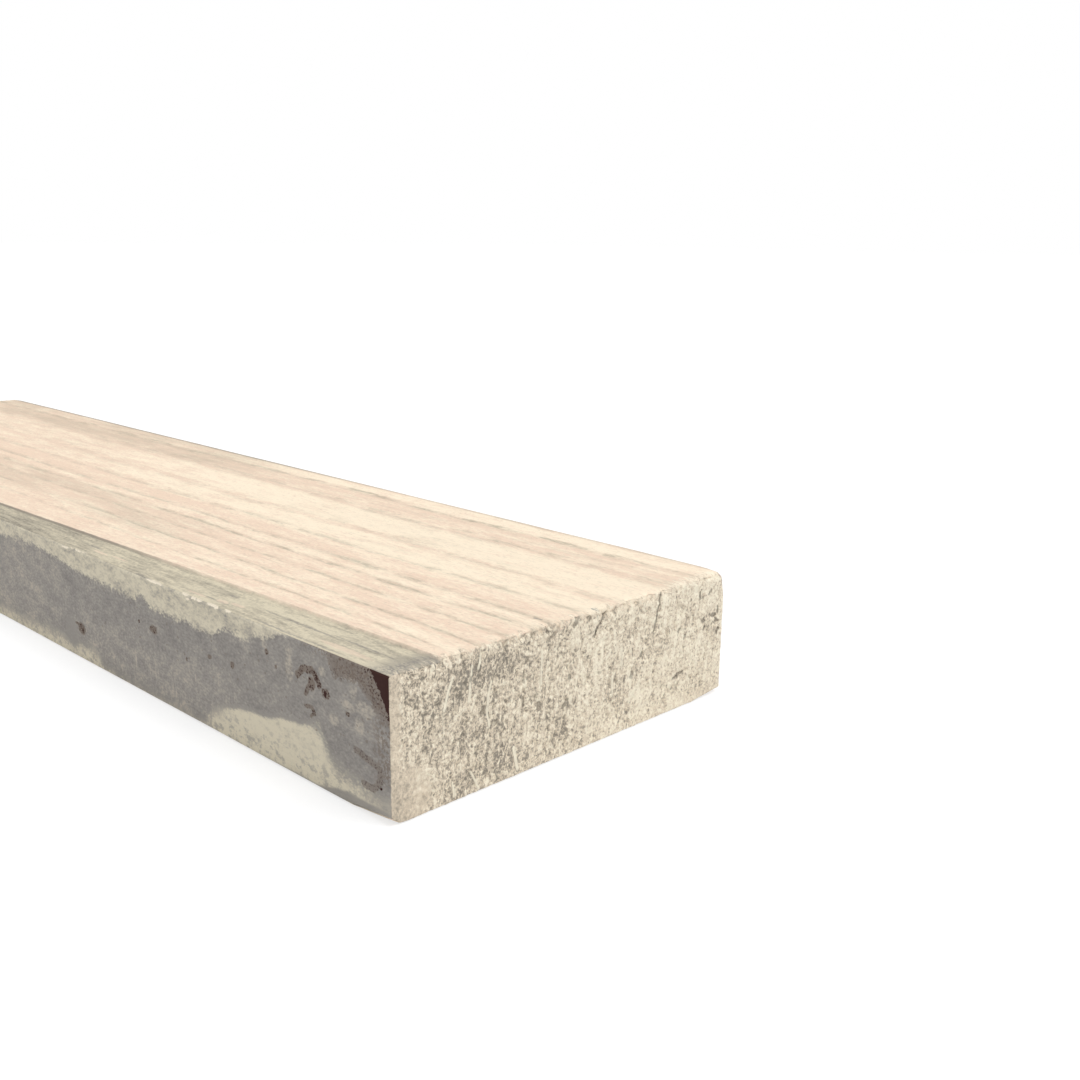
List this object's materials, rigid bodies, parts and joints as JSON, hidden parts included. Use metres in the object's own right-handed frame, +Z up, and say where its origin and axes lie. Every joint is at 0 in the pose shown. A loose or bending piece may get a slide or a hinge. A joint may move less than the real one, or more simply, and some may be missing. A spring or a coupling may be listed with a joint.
{
  "type": "timber lumber plank",
  "caption": "Short length of rough-sawn, weathered softwood plank with a tapering wane along an arris, a worn corner and torn end grain, for building, blocking and shelving.",
  "frame": {"origin": "middle of the plank's length and width, on the wide face that it lies on", "axes": "+X along the grain towards the torn end, +Y across the width away from the wane and the stained side, +Z up through the thickness"},
  "size_m": [0.6, 0.15, 0.045],
  "materials": {
    "wood": "rough-sawn, weathered and stained"
  },
  "bodies": {
    "root": {"plank": "wood"}
  },
  "joints": []
}
